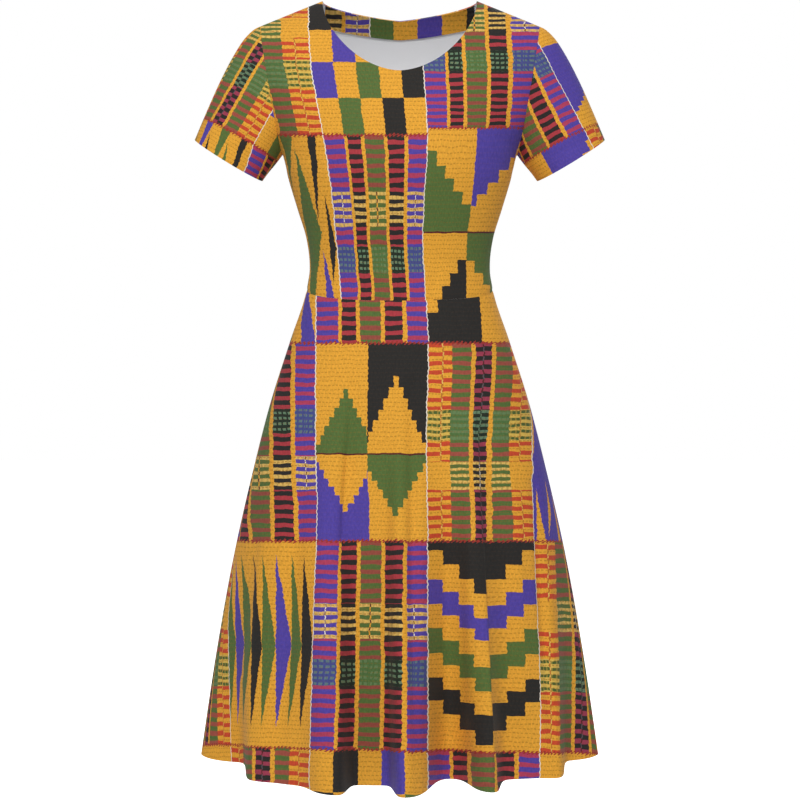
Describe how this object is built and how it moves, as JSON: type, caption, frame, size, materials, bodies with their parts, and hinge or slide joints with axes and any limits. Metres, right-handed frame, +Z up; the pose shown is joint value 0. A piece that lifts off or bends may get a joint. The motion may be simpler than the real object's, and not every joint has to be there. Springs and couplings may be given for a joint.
{
  "type": "flared short-sleeved dress",
  "caption": "Knee-length stretch-jersey dress with a round neck, short set-in sleeves, a seamed waist and a flared, softly folded skirt in a woven-strip print",
  "frame": {"origin": "midway between the two high points of the shoulders, at their height, where the wearer's shoulders hold the dress up", "axes": "+Z up along the dress, -Y out of its front, +X toward its right side as seen from the front"},
  "size_m": [0.5324, 0.4485, 0.9817],
  "materials": {
    "printed_jersey": "matt printed knit, white inside"
  },
  "bodies": {
    "root": {"front_bodice": "printed_jersey", "back_bodice": "printed_jersey", "front_skirt": "printed_jersey", "back_skirt": "printed_jersey", "left_sleeve": "printed_jersey", "right_sleeve": "printed_jersey", "back_neck_facing": "printed_jersey"}
  },
  "joints": []
}
